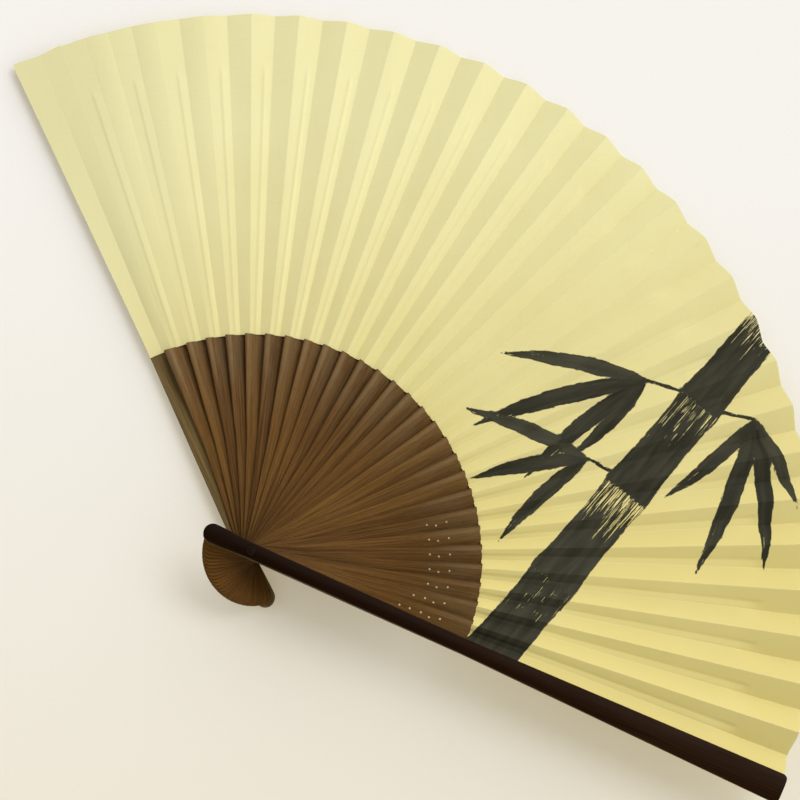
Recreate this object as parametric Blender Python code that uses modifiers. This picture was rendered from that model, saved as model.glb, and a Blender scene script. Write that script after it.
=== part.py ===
"""A folding fan, open on its rivet: two guards, 27 ribs and a pleated paper leaf.

The rivet's axis is +Z through the origin, and the lower guard's outer face lies at z = 0.
Every stick is modelled along its own +X, with +Y to its left, and is then turned about the rivet.
"""
import math

import bmesh
import bpy
from mathutils import Matrix

# Driving dimensions, in metres. Angles are in degrees where their name says so.
MM = 0.001

# How the fan opens: 27 ribs between two guards, counted clockwise from the left guard. All pleats are
# folded from equal panels. They are drawn flatter at the left guard, so the ribs spread more there.
RIB_COUNT = 27
LEFT_GUARD_DEG = 115.0
PANEL_HALF_DEG = 1.31
LEFT_TILT_DEG = 15.0
RIGHT_TILT_DEG = 24.0

# The stack on the rivet, one stick above another.
STICK_PITCH = 0.8 * MM
RIB_THICKNESS = 0.5 * MM
STICK_CLEARANCE = STICK_PITCH - RIB_THICKNESS

# Rivet, with its two heads let into the guards, flush with their outer faces.
RIVET_DIAMETER = 2.2 * MM
RIVET_HOLE_CLEARANCE = 0.3 * MM
RIVET_HEAD_DIAMETER = 3.6 * MM
RIVET_HEAD_HEIGHT = 0.7 * MM

# Ribs: a rounded tail, a narrow waist, and a broad part that ends just below the leaf.
RIB_TAIL_REACH = 17.5 * MM
RIB_TAIL_WIDTH = 6.6 * MM
RIB_NECK_WIDTH = 5.2 * MM
RIB_WAIST_WIDTH = 4.2 * MM
RIB_WAIST_START = 22.0 * MM
RIB_WIDENING_LENGTH = 28.0 * MM
RIB_BROAD_WIDTH = 6.6 * MM
RIB_BROAD_LENGTH = 5.0 * MM
RIB_SHOULDER_LENGTH = 3.0 * MM
RIB_TWIST_START = 30.0 * MM

# Leaf: each panel reaches half a panel's angle to either side of its own middle line.
LEAF_INNER_RADIUS = 84.0 * MM
LEAF_OUTER_RADIUS = 208.0 * MM
RIB_PANEL_THICKNESS = 0.2 * MM
FREE_PANEL_THICKNESS = 0.15 * MM
FREE_PANEL_SIDE_SHARE = 0.8
FREE_PANEL_END_GAP = 0.3 * MM
FREE_PANEL_RIM_LIFT = 0.75 * MM
FREE_PANEL_SEAT_SHIFT = -0.025 * MM
END_PANEL_GAP = 0.12 * MM
END_PANEL_OVERHANG = 0.2 * MM

# Guards: thick sticks with a flat outer face, narrow at the neck and broad at the tip. The leaf's rim
# covers the lower guard's tip, and the upper guard's tip stands out past it.
GUARD_THICKNESS = 4.2 * MM
GUARD_TAIL_REACH = 18.5 * MM
GUARD_TAIL_WIDTH = 7.0 * MM
GUARD_NECK_WIDTH = 5.6 * MM
GUARD_NECK_PAST_LEAF = 1.0 * MM
GUARD_TIP_WIDTH = 11.0 * MM
LEFT_GUARD_OVERHANG = -0.5 * MM
RIGHT_GUARD_OVERHANG = 1.5 * MM
GUARD_TIP_ROUNDING = 1.6 * MM
GUARD_EDGE_BEVEL = 0.4 * MM

# Worked out from the above.
PANEL_SLOPE = math.tan(math.radians(PANEL_HALF_DEG))
RIVET_HOLE_DIAMETER = RIVET_DIAMETER + 2 * RIVET_HOLE_CLEARANCE
FIRST_STICK_Z = GUARD_THICKNESS + STICK_CLEARANCE + RIB_THICKNESS / 2 - STICK_PITCH
LAST_STICK_Z = FIRST_STICK_Z + (RIB_COUNT + 1) * STICK_PITCH
FAN_THICKNESS = FIRST_STICK_Z + LAST_STICK_Z
RIB_SHOULDER_START = LEAF_INNER_RADIUS - RIB_SHOULDER_LENGTH
RIB_BROAD_START = RIB_SHOULDER_START - RIB_BROAD_LENGTH
RIB_WAIST_END = RIB_BROAD_START - RIB_WIDENING_LENGTH
GUARD_NECK_END = LEAF_INNER_RADIUS + GUARD_NECK_PAST_LEAF
GUARD_LENGTH = LEAF_OUTER_RADIUS + RIGHT_GUARD_OVERHANG
TAIL_STEPS = 5
CORNER_STEPS = 2
CUTTER_MARGIN = 2.0 * MM

for old in list(bpy.data.objects):
    bpy.data.objects.remove(old, do_unlink=True)

fan = bpy.data.collections.new("folding_fan")
bpy.context.scene.collection.children.link(fan)
cutters = bpy.data.collections.new("cutters")
bpy.context.scene.collection.children.link(cutters)


def material(name, colour, roughness, metallic=0.0):
    """A plain Principled material."""
    result = bpy.data.materials.new(name)
    result.use_nodes = True
    shader = result.node_tree.nodes["Principled BSDF"]
    shader.inputs["Base Color"].default_value = (*colour, 1.0)
    shader.inputs["Roughness"].default_value = roughness
    shader.inputs["Metallic"].default_value = metallic
    result.diffuse_color = (*colour, 1.0)
    return result


def pleat_tilt(place):
    """Tilt of a panel in radians, at a place counted in sticks from the left guard."""
    return math.radians(between(LEFT_TILT_DEG, RIGHT_TILT_DEG, place / (RIB_COUNT + 1)))


def half_spread(place):
    """Half of the angle about the rivet that a tilted panel covers, in radians."""
    return math.atan(PANEL_SLOPE * math.cos(pleat_tilt(place)))


def stick_azimuth(index):
    """Direction of a stick's middle line, in radians, for stick 0 (left guard) to 28 (right guard)."""
    steps = (half_spread(k) + 2 * half_spread(k + 0.5) + half_spread(k + 1) for k in range(index))
    return math.radians(LEFT_GUARD_DEG) - sum(steps)


def stick_height(index):
    """Height of a stick's middle plane on the rivet."""
    return FIRST_STICK_Z + index * STICK_PITCH


def fold_slope(index):
    """Rise of a stick's high crease over its middle line, for each metre from the rivet."""
    return PANEL_SLOPE * math.sin(pleat_tilt(index))


def ease(value):
    """Smooth rise from 0 to 1."""
    value = min(max(value, 0.0), 1.0)
    return value * value * (3 - 2 * value)


def between(start, end, share):
    """Straight blend from start to end."""
    return start + (end - start) * share


def place(name, mesh, colour, height, turn):
    """An object of the fan at a height on the rivet, turned about it."""
    result = bpy.data.objects.new(name, mesh)
    result.matrix_world = Matrix.Translation((0, 0, height)) @ turn
    if colour.name not in mesh.materials:
        mesh.materials.append(colour)
    fan.objects.link(result)
    return result


def baked_mesh(helper, name):
    """The helper object's mesh with its modifiers applied. The helper is removed."""
    bpy.context.view_layer.update()
    graph = bpy.context.evaluated_depsgraph_get()
    mesh = bpy.data.meshes.new_from_object(helper.evaluated_get(graph))
    mesh.name = name
    bpy.data.objects.remove(helper, do_unlink=True)
    return mesh


def strip(name, stations, left_edge, right_edge, rows=1):
    """A flat strip along +X from a grid, with its left and right edges at each station's radius."""
    mesh = bpy.data.meshes.new(name)
    shape = bmesh.new()
    bmesh.ops.create_grid(shape, x_segments=len(stations) - 1, y_segments=rows, size=1.0)
    for vert in shape.verts:
        column = round((vert.co.x + 1) / 2 * (len(stations) - 1))
        radius = stations[column]
        across = (vert.co.y + 1) / 2
        vert.co = (radius, between(right_edge(radius), left_edge(radius), across), 0)
    shape.to_mesh(mesh)
    shape.free()
    helper = bpy.data.objects.new(name, mesh)
    fan.objects.link(helper)
    return helper


def add_solidify(helper, thickness):
    """Thickness to both sides of a strip."""
    solid = helper.modifiers.new("thickness", "SOLIDIFY")
    solid.thickness = thickness
    solid.offset = 0.0
    return solid


def tail_stations(reach, width):
    """Radii of a round tail's stations, from its end to its broadest place."""
    centre = -reach + width / 2
    angles = [math.radians(12 + 78 * k / TAIL_STEPS) for k in range(TAIL_STEPS + 1)]
    return [centre - width / 2 * math.cos(angle) for angle in angles]


def tail_half_width(radius, reach, width):
    """Half width of the round tail at a radius behind the rivet."""
    offset = radius - (-reach + width / 2)
    return math.sqrt(max((width / 2) ** 2 - offset ** 2, 0.0))


def round_cutter(name, diameter, bottom, top):
    """An upright cylinder on the rivet's axis that cuts the sticks' holes."""
    mesh = bpy.data.meshes.new(name)
    shape = bmesh.new()
    bmesh.ops.create_cone(
        shape, cap_ends=True, segments=20, radius1=diameter / 2, radius2=diameter / 2, depth=top - bottom)
    bmesh.ops.translate(shape, verts=shape.verts, vec=(0, 0, (top + bottom) / 2))
    shape.to_mesh(mesh)
    shape.free()
    result = bpy.data.objects.new(name, mesh)
    result.hide_render = True
    result.display_type = "WIRE"
    cutters.objects.link(result)
    return result


def cut(helper, cutter):
    """Takes the cutter's shape out of the helper."""
    boolean = helper.modifiers.new("cut_" + cutter.name, "BOOLEAN")
    boolean.operation = "DIFFERENCE"
    boolean.object = cutter
    boolean.use_self = True


# Materials, with the colours of the photographed fan.
dark_lacquer = material("dark_lacquer", (0.020, 0.008, 0.004), 0.28)
smoked_bamboo = material("smoked_bamboo", (0.115, 0.062, 0.024), 0.55)
ivory_paper = material("ivory_paper", (0.800, 0.730, 0.410), 0.85)
dark_rivet = material("dark_rivet", (0.030, 0.020, 0.015), 0.35)


# Guards. The flat outer face lies down. The inner face falls away to the tip, to make room for the leaf.
def guard_side(radius):
    """Half width of a guard: tail, neck, then an even widening up to the tip."""
    tail_centre = -GUARD_TAIL_REACH + GUARD_TAIL_WIDTH / 2
    if radius < tail_centre:
        return tail_half_width(radius, GUARD_TAIL_REACH, GUARD_TAIL_WIDTH)
    if radius < 0:
        share = ease((radius - tail_centre) / -tail_centre)
        return between(GUARD_TAIL_WIDTH, GUARD_NECK_WIDTH, share) / 2
    share = max(radius - GUARD_NECK_END, 0) / (GUARD_LENGTH - GUARD_NECK_END)
    return between(GUARD_NECK_WIDTH, GUARD_TIP_WIDTH, share) / 2


def guard_inner_height(radius, slope):
    """Height of a guard's inner face above its outer face."""
    leaf_side = FIRST_STICK_Z - slope * radius - RIB_PANEL_THICKNESS / 2 - END_PANEL_GAP
    share = ease((radius - RIB_TWIST_START) / (LEAF_INNER_RADIUS - RIB_TWIST_START))
    return between(GUARD_THICKNESS, leaf_side, share)


def guard_mesh(overhang, slope):
    """One guard, with the rivet's hole and the sink for the rivet's head."""
    tip = LEAF_OUTER_RADIUS + overhang

    def half_width(radius):
        into_corner = max(radius - (tip - GUARD_TIP_ROUNDING), 0)
        rounding = math.sqrt(max(GUARD_TIP_ROUNDING ** 2 - into_corner ** 2, 0))
        return guard_side(radius) - GUARD_TIP_ROUNDING + rounding

    tail = tail_stations(GUARD_TAIL_REACH, GUARD_TAIL_WIDTH)
    neck = [between(tail[-1], 0, k / 3) for k in (1, 2, 3)]
    body = [between(0, RIB_TWIST_START, k / 2) for k in (1, 2)]
    fall = [between(RIB_TWIST_START, LEAF_INNER_RADIUS, k / 6) for k in range(1, 7)]
    turns = [math.pi / 2 * k / CORNER_STEPS for k in range(CORNER_STEPS + 1)]
    corner = [tip - GUARD_TIP_ROUNDING * (1 - math.sin(turn)) for turn in turns]
    stations = tail + neck + body + fall + [GUARD_NECK_END] + corner
    helper = strip("guard_shape", stations, half_width, lambda radius: -half_width(radius))
    shape = bmesh.new()
    shape.from_mesh(helper.data)
    raised = bmesh.ops.extrude_face_region(shape, geom=shape.faces[:])
    for vert in raised["geom"]:
        if isinstance(vert, bmesh.types.BMVert):
            vert.co.z = guard_inner_height(vert.co.x, slope)
    bmesh.ops.recalc_face_normals(shape, faces=shape.faces)
    shape.to_mesh(helper.data)
    shape.free()
    bevel = helper.modifiers.new("soft_edges", "BEVEL")
    bevel.width = GUARD_EDGE_BEVEL
    bevel.segments = 2
    bevel.limit_method = "ANGLE"
    bevel.angle_limit = math.radians(50)
    cut(helper, guard_hole)
    cut(helper, head_sink)
    mesh = baked_mesh(helper, "guard")
    mesh.shade_smooth()
    mesh.set_sharp_from_angle(angle=math.radians(35))
    return mesh


guard_hole = round_cutter(
    "guard_hole", RIVET_HOLE_DIAMETER, -CUTTER_MARGIN, GUARD_THICKNESS + CUTTER_MARGIN)
head_sink = round_cutter(
    "head_sink", RIVET_HEAD_DIAMETER + 2 * RIVET_HOLE_CLEARANCE, -CUTTER_MARGIN,
    RIVET_HEAD_HEIGHT + RIVET_HOLE_CLEARANCE)
left_turn = Matrix.Rotation(stick_azimuth(0), 4, "Z")
right_turn = Matrix.Rotation(stick_azimuth(RIB_COUNT + 1), 4, "Z") @ Matrix.Rotation(math.pi, 4, "X")
lower_guard = guard_mesh(LEFT_GUARD_OVERHANG, fold_slope(0))
upper_guard = guard_mesh(RIGHT_GUARD_OVERHANG, fold_slope(RIB_COUNT + 1))
place("left_guard", lower_guard, dark_lacquer, 0, left_turn)
place("right_guard", upper_guard, dark_lacquer, FAN_THICKNESS, right_turn)


# Panels of the leaf glued to the guards' inner faces. Their outer edge follows the guard's edge.
def end_panel_mesh(index):
    """A flat panel from the guard's outer edge to the first crease."""
    def outer_edge(radius):
        return guard_side(radius) + END_PANEL_OVERHANG

    def inner_edge(radius):
        return -radius * math.tan(half_spread(index))

    stations = [LEAF_INNER_RADIUS, GUARD_NECK_END, LEAF_OUTER_RADIUS]
    helper = strip("end_panel_shape", stations, outer_edge, inner_edge)
    add_solidify(helper, RIB_PANEL_THICKNESS)
    return baked_mesh(helper, "end_panel")


for name, index, turn in (("left_leaf_end", 0, left_turn), ("right_leaf_end", RIB_COUNT + 1, right_turn)):
    lean_down = Matrix.Rotation(math.atan(fold_slope(index)), 4, "Y")
    place(name, end_panel_mesh(index), ivory_paper, stick_height(index), turn @ lean_down)


# Ribs. Each is one body with the leaf panel that is glued to it: the slat twists up to the panel's tilt.
def rib_half_width(radius):
    """Half width of a rib below the leaf, and of its panel from the leaf's inner edge on."""
    tail_centre = -RIB_TAIL_REACH + RIB_TAIL_WIDTH / 2
    panel = radius * PANEL_SLOPE
    if radius < tail_centre:
        return tail_half_width(radius, RIB_TAIL_REACH, RIB_TAIL_WIDTH)
    if radius < 0:
        return between(RIB_TAIL_WIDTH, RIB_NECK_WIDTH, ease((radius - tail_centre) / -tail_centre)) / 2
    if radius < RIB_WAIST_START:
        return between(RIB_NECK_WIDTH, RIB_WAIST_WIDTH, ease(radius / RIB_WAIST_START)) / 2
    if radius < RIB_SHOULDER_START:
        widening = (radius - RIB_WAIST_END) / RIB_WIDENING_LENGTH
        return between(RIB_WAIST_WIDTH, RIB_BROAD_WIDTH, ease(widening)) / 2
    if radius < LEAF_INNER_RADIUS:
        narrowing = (radius - RIB_SHOULDER_START) / RIB_SHOULDER_LENGTH
        return between(RIB_BROAD_WIDTH / 2, panel, ease(narrowing))
    return panel


def rib_mesh(tilt):
    """One rib with its panel, with the rivet's hole."""
    tail = tail_stations(RIB_TAIL_REACH, RIB_TAIL_WIDTH)
    neck = [between(tail[-1], 0, k / 3) for k in (1, 2, 3)]
    waist = [RIB_WAIST_START / 2, RIB_WAIST_START, RIB_TWIST_START]
    waist += [between(RIB_TWIST_START, RIB_WAIST_END, k / 3) for k in (1, 2)]
    broad = [between(RIB_WAIST_END, RIB_BROAD_START, k / 7) for k in range(8)]
    shoulder = [between(RIB_SHOULDER_START, LEAF_INNER_RADIUS, k / 3) for k in range(4)]
    panel = [LEAF_INNER_RADIUS + FREE_PANEL_END_GAP, LEAF_OUTER_RADIUS]
    stations = tail + neck + waist + broad + shoulder + panel
    helper = strip("rib_shape", stations, rib_half_width, lambda radius: -rib_half_width(radius))
    full = helper.vertex_groups.new(name="slat")
    for vert in helper.data.vertices:
        radius = vert.co.x
        is_slat = radius < LEAF_INNER_RADIUS
        full.add([vert.index], 1.0 if is_slat else RIB_PANEL_THICKNESS / RIB_THICKNESS, "REPLACE")
        roll = tilt * ease((radius - RIB_TWIST_START) / (RIB_SHOULDER_START - RIB_TWIST_START))
        across = vert.co.y
        vert.co.y = across * math.cos(roll)
        vert.co.z = across * math.sin(roll)
    solid = add_solidify(helper, RIB_THICKNESS)
    solid.vertex_group = "slat"
    cut(helper, rib_hole)
    mesh = baked_mesh(helper, "rib")
    mesh.shade_smooth()
    mesh.set_sharp_from_angle(angle=math.radians(35))
    return mesh


rib_hole = round_cutter("rib_hole", RIVET_HOLE_DIAMETER, -CUTTER_MARGIN, CUTTER_MARGIN)
for index in range(1, RIB_COUNT + 1):
    turn = Matrix.Rotation(stick_azimuth(index), 4, "Z")
    place(f"rib_{index:02d}", rib_mesh(pleat_tilt(index)), smoked_bamboo, stick_height(index), turn)


# Free panels. Each falls from the next rib's panel to the panel of the rib on its left, and its hinge goes
# through the rivet's axis midway between the two ribs.
def free_panel_mesh():
    """A flat panel, narrower than the paper between two creases, so that it clears its neighbours."""
    inner = LEAF_INNER_RADIUS + FREE_PANEL_END_GAP
    outer = LEAF_OUTER_RADIUS - FREE_PANEL_END_GAP

    def half_width(radius):
        return FREE_PANEL_SIDE_SHARE * radius * PANEL_SLOPE

    helper = strip("free_panel_shape", [inner, outer], half_width, lambda radius: -half_width(radius))
    add_solidify(helper, FREE_PANEL_THICKNESS)
    return baked_mesh(helper, "free_panel")


free_panel = free_panel_mesh()
rim_lift = Matrix.Rotation(-math.atan(FREE_PANEL_RIM_LIFT / LEAF_OUTER_RADIUS), 4, "Y")
for index in range(RIB_COUNT + 1):
    azimuth = stick_azimuth(index) - half_spread(index) - half_spread(index + 0.5)
    middle = Matrix.Rotation(azimuth, 4, "Z")
    tilt = Matrix.Rotation(-pleat_tilt(index + 0.5), 4, "X")
    height = stick_height(index) + STICK_PITCH / 2 + FREE_PANEL_SEAT_SHIFT
    place(f"pleat_{index:02d}", free_panel, ivory_paper, height, middle @ rim_lift @ tilt)


# Rivet: a turned profile, with a shaft through all sticks and a flat head let into each guard.
def rivet_mesh():
    """The rivet's profile from its upper face down to its lower one, turned about Z."""
    head = RIVET_HEAD_DIAMETER / 2
    shaft = RIVET_DIAMETER / 2
    lower = [(0, 0), (head, 0), (head, RIVET_HEAD_HEIGHT), (shaft, RIVET_HEAD_HEIGHT)]
    upper = [(radius, FAN_THICKNESS - z) for radius, z in lower]
    profile = upper + lower[::-1]
    points = [(radius, 0, z) for radius, z in profile]
    edges = [(k, k + 1) for k in range(len(profile) - 1)]
    mesh = bpy.data.meshes.new("rivet_profile")
    mesh.from_pydata(points, edges, [])
    helper = bpy.data.objects.new("rivet_shape", mesh)
    fan.objects.link(helper)
    turned = helper.modifiers.new("turned", "SCREW")
    turned.steps = 24
    turned.render_steps = 24
    turned.use_merge_vertices = True
    turned.merge_threshold = 0.00001
    result = baked_mesh(helper, "rivet")
    result.shade_smooth()
    result.set_sharp_from_angle(angle=math.radians(35))
    return result


place("pivot_pin", rivet_mesh(), dark_rivet, 0, Matrix.Identity(4))
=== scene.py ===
"""A paper folding fan lying open: two lacquered guards, 27 smoked bamboo ribs, a pleated paper leaf and the
rivet that all the sticks turn on."""

import math

import bmesh
import bpy
import numpy as np
from mathutils import Matrix, Vector


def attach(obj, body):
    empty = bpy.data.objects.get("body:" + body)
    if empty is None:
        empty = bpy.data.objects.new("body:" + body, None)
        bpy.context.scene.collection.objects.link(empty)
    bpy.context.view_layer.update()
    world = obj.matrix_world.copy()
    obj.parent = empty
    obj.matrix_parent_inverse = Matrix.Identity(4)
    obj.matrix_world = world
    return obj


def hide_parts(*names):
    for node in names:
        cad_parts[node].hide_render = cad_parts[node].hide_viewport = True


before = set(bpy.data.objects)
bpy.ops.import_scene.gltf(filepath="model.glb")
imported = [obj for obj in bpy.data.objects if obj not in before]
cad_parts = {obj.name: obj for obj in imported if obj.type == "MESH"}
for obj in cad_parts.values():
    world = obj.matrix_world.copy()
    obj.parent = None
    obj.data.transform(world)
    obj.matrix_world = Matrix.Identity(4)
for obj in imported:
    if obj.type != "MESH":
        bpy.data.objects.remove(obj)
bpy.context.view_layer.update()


# Camera. It looks down on the open fan from above and a little in front, from rather more than a metre away,
# with a narrow field of view.
CAMERA_PLACE = (-0.0271, -0.1523, 1.1136)
CAMERA_TURN_DEG = (10.819, -4.363, 0.707)
CAMERA_FIELD_DEG = 15.0

bpy.ops.object.select_all(action="DESELECT")
bpy.ops.object.camera_add(location=CAMERA_PLACE, rotation=[math.radians(angle) for angle in CAMERA_TURN_DEG])
camera = bpy.context.object
camera.name = "camera"
camera.data.angle = math.radians(CAMERA_FIELD_DEG)
camera.data.clip_end = 30.0
bpy.context.scene.camera = camera
bpy.context.scene.view_settings.view_transform = "Standard"


# Table and light. The fan lies on a large pale table. It rests on its lower guard and on its middle pleats'
# rim, so the table slopes a little against the fan's own plane. A soft lamp stands at the upper right, and
# the room gives the rest of the light, more of it from the lamp's side and little from straight above.
LEFT_GUARD_DEG = 115.0
TABLE_SIZE = 8.0
TABLE_SLOPE = 0.0640
TABLE_CONTACT = 0.0028
TABLE_CLEARANCE = 0.0002
TABLE_FAR_COLOUR = (0.965, 0.945, 0.915, 1.0)
TABLE_NEAR_COLOUR = (0.890, 0.845, 0.735, 1.0)
TABLE_FAR_Y, TABLE_NEAR_Y = 0.150, -0.090
TABLE_CLOUD_SCALE, TABLE_CLOUDS = 9.0, 0.10
TABLE_GRAIN_SCALE, TABLE_GRAIN_DEPTH = 900.0, 0.0002
TABLE_GLOW = 0.34
TABLE_GLOW_TINT = (1.0, 0.87, 0.55, 1.0)
LAMP_AZIMUTH_DEG = 38.0
LAMP_HEIGHT_DEG = 60.0
LAMP_ENERGY = 0.95
LAMP_WIDTH_DEG = 30.0
LAMP_COLOUR = (1.0, 0.975, 0.93)
ROOM_LOW, ROOM_ABOVE = 0.99, 0.14
ROOM_LOW_Z, ROOM_ABOVE_Z = 0.70, 0.95
ROOM_SIDE_SHARE = 0.72
ROOM_COLOUR = (1.0, 0.99, 0.97, 1.0)


def node(tree, kind, inputs=None, **settings):
    """A shader node with its settings, its inputs set to values or joined to other nodes' outputs."""
    made = tree.nodes.new(kind)
    for key, value in settings.items():
        setattr(made, key, value)
    for key, value in (inputs or {}).items():
        if isinstance(value, bpy.types.NodeSocket):
            tree.links.new(value, made.inputs[key])
        else:
            made.inputs[key].default_value = value
    return made


def sums(tree, operation, first, second=0.5, third=0.5, clamp=False):
    """The result of a maths node."""
    return node(tree, "ShaderNodeMath", {0: first, 1: second, 2: third},
                operation=operation, use_clamp=clamp).outputs[0]


def plus(tree, first, second, clamp=False):
    """Two values added, and held between 0 and 1 where that is asked."""
    return sums(tree, "ADD", first, second, clamp=clamp)


def times(tree, first, second):
    """Two values multiplied."""
    return sums(tree, "MULTIPLY", first, second)


def centred(tree, value, reach):
    """A value between 0 and 1 made to swing about 0, by half the reach either way."""
    return sums(tree, "MULTIPLY_ADD", value, reach, -reach / 2)


def remap(tree, value, low, high, to_low=0.0, to_high=1.0, smooth=True):
    """A value taken from one range to another, and held inside it."""
    kind = "SMOOTHSTEP" if smooth else "LINEAR"
    return node(tree, "ShaderNodeMapRange", {0: value, 1: low, 2: high, 3: to_low, 4: to_high},
                interpolation_type=kind).outputs[0]


def mixed(tree, share, first, second, way="MIX"):
    """Two colours mixed."""
    return node(tree, "ShaderNodeMix", {0: share, 6: first, 7: second},
                data_type="RGBA", blend_type=way).outputs[2]


def noise(tree, place, scale, detail=3.0, roughness=0.5):
    """Cloudy noise with a mean of one half."""
    return node(tree, "ShaderNodeTexNoise", {"Vector": place, "Scale": scale, "Detail": detail,
                                             "Roughness": roughness}).outputs[0]


def parts_of(tree, place):
    """The x, y and z of a place or a direction."""
    return node(tree, "ShaderNodeSeparateXYZ", {0: place}).outputs


def bumps(tree, strength, depth, height):
    """The normals of a surface with small bumps."""
    inputs = {"Strength": strength, "Distance": depth, "Height": height}
    return node(tree, "ShaderNodeBump", inputs).outputs[0]


def seen_directly(tree):
    """1 for what the camera sees, in a reflection or through glass too, and 0 for light on the fan."""
    path = node(tree, "ShaderNodeLightPath").outputs
    indirectly = sums(tree, "MAXIMUM", path["Is Glossy Ray"], path["Is Transmission Ray"])
    return sums(tree, "MAXIMUM", path["Is Camera Ray"], indirectly)


def new_finish(name):
    """A new material: its node tree, its main shader and itself."""
    made = bpy.data.materials.new(name)
    made.use_nodes = True
    return made.node_tree, made.node_tree.nodes["Principled BSDF"], made


def set_shader(tree, shader, **inputs):
    """Sets or joins the main shader's inputs, named with _ for a space."""
    for key, value in inputs.items():
        socket = shader.inputs[key.replace("_", " ")]
        if isinstance(value, bpy.types.NodeSocket):
            tree.links.new(value, socket)
        else:
            socket.default_value = value


bpy.ops.mesh.primitive_plane_add(size=TABLE_SIZE)
table = bpy.context.object
table.name = "table"
guard_line = math.radians(LEFT_GUARD_DEG)
away = Vector((math.sin(guard_line), -math.cos(guard_line), 0.0))
for vert in table.data.vertices:
    vert.co.z = TABLE_SLOPE * (vert.co.dot(away) - TABLE_CONTACT) - TABLE_CLEARANCE

tree, shader, table_paint = new_finish("table_paint")
place = node(tree, "ShaderNodeTexCoord").outputs["Object"]
nearness = remap(tree, parts_of(tree, place)[1], TABLE_FAR_Y, TABLE_NEAR_Y, smooth=False)
clouds = centred(tree, noise(tree, place, TABLE_CLOUD_SCALE, 2.0), TABLE_CLOUDS)
colour = mixed(tree, plus(tree, nearness, clouds, clamp=True), TABLE_FAR_COLOUR, TABLE_NEAR_COLOUR)
# The table glows a little for the camera alone. This lightens the fan's shadow on it, and the warm tint makes
# that shadow warmer: painted fill light and painted warm bounce light in the shadow.
glow = times(tree, seen_directly(tree), TABLE_GLOW)
warm_fill_glow = mixed(tree, 1.0, colour, TABLE_GLOW_TINT, "MULTIPLY")
grain = noise(tree, place, TABLE_GRAIN_SCALE)
set_shader(tree, shader, Base_Color=mixed(tree, glow, colour, warm_fill_glow, "SUBTRACT"), Emission_Color=warm_fill_glow,
           Emission_Strength=glow, Roughness=0.85, Specular_IOR_Level=0.1,
           Normal=bumps(tree, 0.25, TABLE_GRAIN_DEPTH, grain))
table.data.materials.append(table_paint)

lamp_data = bpy.data.lights.new("window_light", "SUN")
lamp_data.energy = LAMP_ENERGY
lamp_data.angle = math.radians(LAMP_WIDTH_DEG)
lamp_data.color = LAMP_COLOUR
lamp = bpy.data.objects.new("window_light", lamp_data)
bpy.context.scene.collection.objects.link(lamp)
lamp_turn, lamp_height = math.radians(LAMP_AZIMUTH_DEG), math.radians(LAMP_HEIGHT_DEG)
lamp_side = Vector((math.cos(lamp_turn), math.sin(lamp_turn), 0.0))
lamp_from = lamp_side * math.cos(lamp_height) + Vector((0, 0, math.sin(lamp_height)))
lamp.rotation_euler = lamp_from.to_track_quat("Z", "Y").to_euler()

room = bpy.data.worlds.new("room")
room.use_nodes = True
bpy.context.scene.world = room
tree = room.node_tree
direction = node(tree, "ShaderNodeTexCoord").outputs["Generated"]
level = remap(tree, parts_of(tree, direction)[2], ROOM_LOW_Z, ROOM_ABOVE_Z, ROOM_LOW, ROOM_ABOVE)
towards_lamp = node(tree, "ShaderNodeVectorMath", {0: direction, 1: lamp_side}, operation="DOT_PRODUCT")
side_level = sums(tree, "MULTIPLY_ADD", towards_lamp.outputs["Value"], ROOM_SIDE_SHARE, 1.0)
room_light = tree.nodes["Background"]
room_light.inputs["Color"].default_value = ROOM_COLOUR
tree.links.new(times(tree, level, side_level), room_light.inputs["Strength"])


# Guards. The two outer sticks are thick slats of hard wood, planed to an even taper, rounded along their
# edges and lacquered almost black. Their inner faces stay brown, and are thinned towards the tip to make room
# for the leaf.
RIB_COUNT = 27
STICK_PITCH = 0.0008
FIRST_STICK_Z = 0.00395
PANEL_SLOPE = math.tan(math.radians(1.31))
LEFT_TILT_DEG, RIGHT_TILT_DEG = 15.0, 24.0
FAN_THICKNESS = 0.0303
LEAF_INNER, LEAF_OUTER = 0.0840, 0.2080
GUARD_THICKNESS = 0.0042
GUARD_MIDDLE_Z = 0.0020
GUARD_TAIL_REACH = 0.0185
GUARD_TAIL_WIDTH = 0.0070
GUARD_NECK_WIDTH = 0.0056
GUARD_NECK_END = 0.0850
GUARD_TIP_WIDTH = 0.0110
LEFT_GUARD_TIP, RIGHT_GUARD_TIP = 0.2075, 0.2095
GUARD_TIP_ROUNDING = 0.0020
GUARD_CROWN = 0.0005
GUARD_EDGE = 0.0009
GUARD_THINNING_START = 0.0300
END_PANEL_HALF, END_PANEL_GAP = 0.00010, 0.00012
GUARD_STATIONS, GUARD_ACROSS = 60, 8
GUARD_BLANK_HEIGHT = 0.02
INNER_FACE_REACH = 1.2
RIVET_HOLE_RADIUS = 0.0014
RIVET_SINK_RADIUS, RIVET_SINK_DEPTH = 0.00208, 0.0010
DRILL_LENGTH = 0.02
TAIL_FIRST_DEG, TAIL_STEPS, CORNER_STEPS = 8, 9, 6
ROUND_FROM_DEG, SMOOTH_TO_DEG = 50, 35
NARROWEST = 0.0005
MM = 1000


def pleat_tilt(place):
    """Tilt of a panel in radians, at a place counted in sticks from the left guard."""
    return math.radians(LEFT_TILT_DEG + (RIGHT_TILT_DEG - LEFT_TILT_DEG) * place / (RIB_COUNT + 1))


def half_spread(place):
    """Half of the angle about the rivet that a tilted panel covers, in radians."""
    return math.atan(PANEL_SLOPE * math.cos(pleat_tilt(place)))


def stick_azimuth(index):
    """Direction of a stick in radians: 0 is the left guard, then come the ribs and the right guard."""
    steps = (half_spread(k) + 2 * half_spread(k + 0.5) + half_spread(k + 1) for k in range(index))
    return math.radians(LEFT_GUARD_DEG) - sum(steps)


def stick_turn(index):
    """Turn of a stick about the rivet."""
    return Matrix.Rotation(stick_azimuth(index), 4, "Z")


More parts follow.
